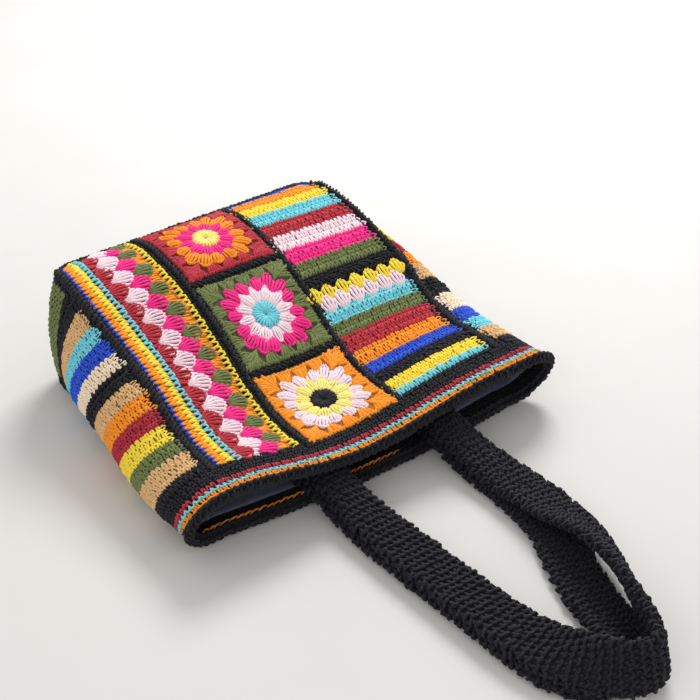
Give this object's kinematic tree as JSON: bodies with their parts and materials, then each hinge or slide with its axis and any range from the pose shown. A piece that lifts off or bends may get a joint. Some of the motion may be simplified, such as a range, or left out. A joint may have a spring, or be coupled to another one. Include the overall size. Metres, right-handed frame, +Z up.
{
  "type": "crochet shoulder bag",
  "caption": "Boxy patchwork crochet shoulder bag with granny squares, striped patches, shell rows, a lined open mouth and flat black straps, lying on its back.",
  "frame": {"origin": "middle of the bounding box in X and Y, on the table the bag lies on", "axes": "+X to the right across the bag, +Y from the strap ends towards the base, +Z up from the back panel to the front panel"},
  "size_m": [0.4482, 0.7352, 0.1389],
  "materials": {
    "shell_strip": "matte crochet in cotton yarn, rows of shells in many colours",
    "square_red": "matte crochet in cotton yarn, brick ground with orange and magenta petals",
    "square_olive": "matte crochet in cotton yarn, olive ground with pink petals",
    "square_orange": "matte crochet in cotton yarn, orange ground with pale pink and yellow petals",
    "panel_stripes": "matte crochet in cotton yarn, stripes of many colours with black borders",
    "side_stripes": "matte crochet in cotton yarn, wide stripes with black borders",
    "base_olive": "matte crochet in olive cotton yarn",
    "mouth_rows": "matte crochet in black cotton yarn with thin red, blue and orange rows",
    "black_joins": "matte crochet seam in black cotton yarn",
    "strap_crochet": "dense matte crochet in black cotton yarn",
    "lining_cloth": "plain dark woven lining"
  },
  "bodies": {
    "root": {"front_shell_strip": "shell_strip", "front_square_red": "square_red", "front_square_olive": "square_olive", "front_square_orange": "square_orange", "front_stripes_base": "panel_stripes", "front_stripes_middle": "panel_stripes", "front_stripes_mouth": "panel_stripes", "front_seam_left": "black_joins", "front_seam_right": "black_joins", "front_join_low": "black_joins", "front_join_high": "black_joins", "front_join_stripe_low": "black_joins", "front_join_stripe_high": "black_joins", "front_edge_join": "black_joins", "back_shell_strip": "shell_strip", "back_square_red": "square_red", "back_square_olive": "square_olive", "back_square_orange": "square_orange", "back_stripes_base": "panel_stripes", "back_stripes_middle": "panel_stripes", "back_stripes_mouth": "panel_stripes", "back_seam_left": "black_joins", "back_seam_right": "black_joins", "back_join_low": "black_joins", "back_join_high": "black_joins", "back_join_stripe_low": "black_joins", "back_join_stripe_high": "black_joins", "back_edge_join": "black_joins", "left_side_base": "side_stripes", "left_side_mouth": "side_stripes", "left_side_join_base": "black_joins", "left_side_join_middle": "black_joins", "right_side_base": "side_stripes", "right_side_mouth": "side_stripes", "right_side_join_base": "black_joins", "right_side_join_middle": "black_joins", "base_patch_left": "base_olive", "base_patch_right": "base_olive", "base_join": "black_joins", "mouth_band": "mouth_rows", "lining": "lining_cloth", "front_strap": "strap_crochet", "back_strap": "strap_crochet"}
  },
  "joints": []
}
